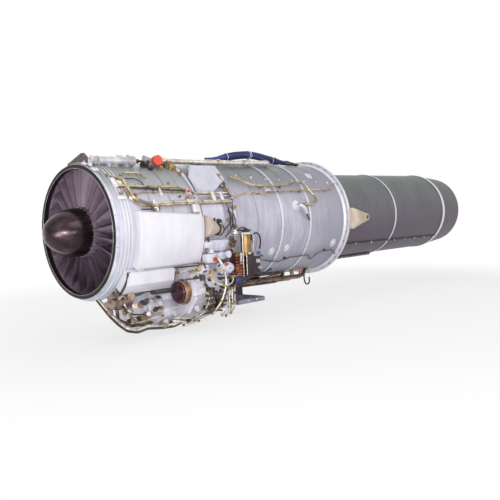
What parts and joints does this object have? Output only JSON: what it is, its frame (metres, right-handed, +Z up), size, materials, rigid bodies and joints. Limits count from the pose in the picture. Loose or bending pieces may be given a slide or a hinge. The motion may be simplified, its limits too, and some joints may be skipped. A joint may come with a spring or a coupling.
{
  "type": "jet engine",
  "caption": "Afterburning two-spool turbojet: overhung fan, ringed casings with saddle oil tank, gearbox and pipework, long jet pipe and converging nozzle.",
  "frame": {"origin": "centre of the inlet lip's front plane, on the engine's axis", "axes": "+X aft along the engine's axis, +Z up, -Y the port side with the oil tank"},
  "size_m": [5.083, 1.138, 1.3111],
  "materials": {
    "dark_ring": "satin dark brown-black",
    "grey_casing": "satin cast metal",
    "pale_casing": "satin grey with a lavender cast",
    "pale_paint": "matt near-white",
    "jet_pipe_paint": "satin greenish dark grey",
    "shroud_paint": "satin dark grey",
    "bullet": "gloss dark brown",
    "fan_metal": "satin dark metal",
    "inner_metal": "satin",
    "hot_metal": "heat-tinted steel",
    "shaft_steel": "machined",
    "bolt_steel": "plated",
    "gearbox_metal": "cast, satin",
    "bronze": "satin bronze",
    "black_cover": "gloss black",
    "dark_unit": "satin dark brown",
    "tan_metal": "satin tan",
    "bright_metal": "bright satin",
    "red_cap": "matt red",
    "blue_wrap": "woven wrap",
    "pipe_steel": "satin"
  },
  "bodies": {
    "engine": {"inlet_ring": "dark_ring", "fan_casing": "grey_casing", "low_stator_case": "inner_metal", "intermediate_casing": "grey_casing", "high_stator_case": "inner_metal", "combustor_casing": "pale_casing", "inner_casing": "hot_metal", "combustor_liner": "hot_metal", "fuel_manifold": "shaft_steel", "turbine_casing": "pale_casing", "turbine_nozzles": "hot_metal", "bearings": "shaft_steel", "exhaust_casing": "pale_casing", "tail_cone": "hot_metal", "jet_pipe": "jet_pipe_paint", "flange_bolts": "bolt_steel", "spray_manifold": "hot_metal", "flame_holder": "hot_metal", "jet_pipe_liner": "hot_metal", "nozzle_shroud": "shroud_paint", "nozzle_actuators": "shaft_steel", "oil_tank": "pale_paint", "oil_cooler": "pale_paint", "gearbox_casing": "gearbox_metal", "drive_pad": "bronze", "pad_cover": "black_cover", "pumps": "gearbox_metal", "fuel_governor": "bronze", "control_unit": "dark_unit", "drain_tray": "dark_unit", "bleed_actuator": "tan_metal", "air_bottle": "bright_metal", "air_valve": "bright_metal", "air_pipe": "bright_metal", "wiring_harness": "blue_wrap", "unit_cover": "pale_paint", "upper_pipes": "pipe_steel", "rear_pipes": "pipe_steel", "lower_pipes": "pipe_steel", "plugs": "bolt_steel", "mount_brackets": "tan_metal"},
    "low_spool": {"nose_bullet": "bullet", "fan_rotor": "fan_metal", "low_compressor_rotor": "inner_metal", "low_shaft": "shaft_steel", "low_turbine": "hot_metal"},
    "high_spool": {"high_compressor_rotor": "inner_metal", "high_shaft": "shaft_steel", "high_turbine": "hot_metal"},
    "nozzle_drive": {"nozzle_ring": "hot_metal"},
    "lever": {"throttle_lever": "bright_metal"},
    "cap": {"blanking_cap": "red_cap"},
    "flap_1": {"nozzle_flap_1": "hot_metal"},
    "flap_2": {"nozzle_flap_2": "hot_metal"},
    "flap_3": {"nozzle_flap_3": "hot_metal"},
    "flap_4": {"nozzle_flap_4": "hot_metal"},
    "flap_5": {"nozzle_flap_5": "hot_metal"},
    "flap_6": {"nozzle_flap_6": "hot_metal"},
    "flap_7": {"nozzle_flap_7": "hot_metal"},
    "flap_8": {"nozzle_flap_8": "hot_metal"}
  },
  "joints": [
    {"name": "low_spin", "type": "hinge", "parent": "engine", "child": "low_spool", "pos_m": [0.095, 0, 0], "axis": [1, 0, 0], "continuous": true},
    {"name": "high_spin", "type": "hinge", "parent": "engine", "child": "high_spool", "pos_m": [1.05, 0, 0], "axis": [1, 0, 0], "continuous": true},
    {"name": "nozzle_slide", "type": "slide", "parent": "engine", "child": "nozzle_drive", "axis": [-1, 0, 0], "range_m": [0, 0.04]},
    {"name": "lever_swing", "type": "hinge", "parent": "engine", "child": "lever", "pos_m": [0.966, -0.591, -0.275], "axis": [0, -1, 0], "range_deg": [-35, 35]},
    {"name": "cap_pull", "type": "slide", "parent": "engine", "child": "cap", "axis": [0, -1, 0], "range_m": [0, 0.06]},
    {"name": "flap_1_hinge", "type": "hinge", "parent": "engine", "child": "flap_1", "pos_m": [4.45, 0, 0.372], "axis": [0, -1, 0], "range_deg": [0, 8.05]},
    {"name": "flap_2_hinge", "type": "hinge", "parent": "engine", "child": "flap_2", "pos_m": [4.45, -0.26304, 0.26304], "axis": [0, -0.7071, -0.7071], "range_deg": [0, 8.05]},
    {"name": "flap_3_hinge", "type": "hinge", "parent": "engine", "child": "flap_3", "pos_m": [4.45, -0.372, 0], "axis": [0, 0, -1], "range_deg": [0, 8.05]},
    {"name": "flap_4_hinge", "type": "hinge", "parent": "engine", "child": "flap_4", "pos_m": [4.45, -0.26304, -0.26304], "axis": [0, 0.7071, -0.7071], "range_deg": [0, 8.05]},
    {"name": "flap_5_hinge", "type": "hinge", "parent": "engine", "child": "flap_5", "pos_m": [4.45, 0, -0.372], "axis": [0, 1, 0], "range_deg": [0, 8.05]},
    {"name": "flap_6_hinge", "type": "hinge", "parent": "engine", "child": "flap_6", "pos_m": [4.45, 0.26304, -0.26304], "axis": [0, 0.7071, 0.7071], "range_deg": [0, 8.05]},
    {"name": "flap_7_hinge", "type": "hinge", "parent": "engine", "child": "flap_7", "pos_m": [4.45, 0.372, 0], "axis": [0, 0, 1], "range_deg": [0, 8.05]},
    {"name": "flap_8_hinge", "type": "hinge", "parent": "engine", "child": "flap_8", "pos_m": [4.45, 0.26304, 0.26304], "axis": [0, -0.7071, 0.7071], "range_deg": [0, 8.05]}
  ],
  "couplings": [
    {"joint": "flap_1_hinge", "follows": "nozzle_slide", "rad_per_m": 3.4907},
    {"joint": "flap_2_hinge", "follows": "nozzle_slide", "rad_per_m": 3.4907},
    {"joint": "flap_3_hinge", "follows": "nozzle_slide", "rad_per_m": 3.4907},
    {"joint": "flap_4_hinge", "follows": "nozzle_slide", "rad_per_m": 3.4907},
    {"joint": "flap_5_hinge", "follows": "nozzle_slide", "rad_per_m": 3.4907},
    {"joint": "flap_6_hinge", "follows": "nozzle_slide", "rad_per_m": 3.4907},
    {"joint": "flap_7_hinge", "follows": "nozzle_slide", "rad_per_m": 3.4907},
    {"joint": "flap_8_hinge", "follows": "nozzle_slide", "rad_per_m": 3.4907}
  ]
}
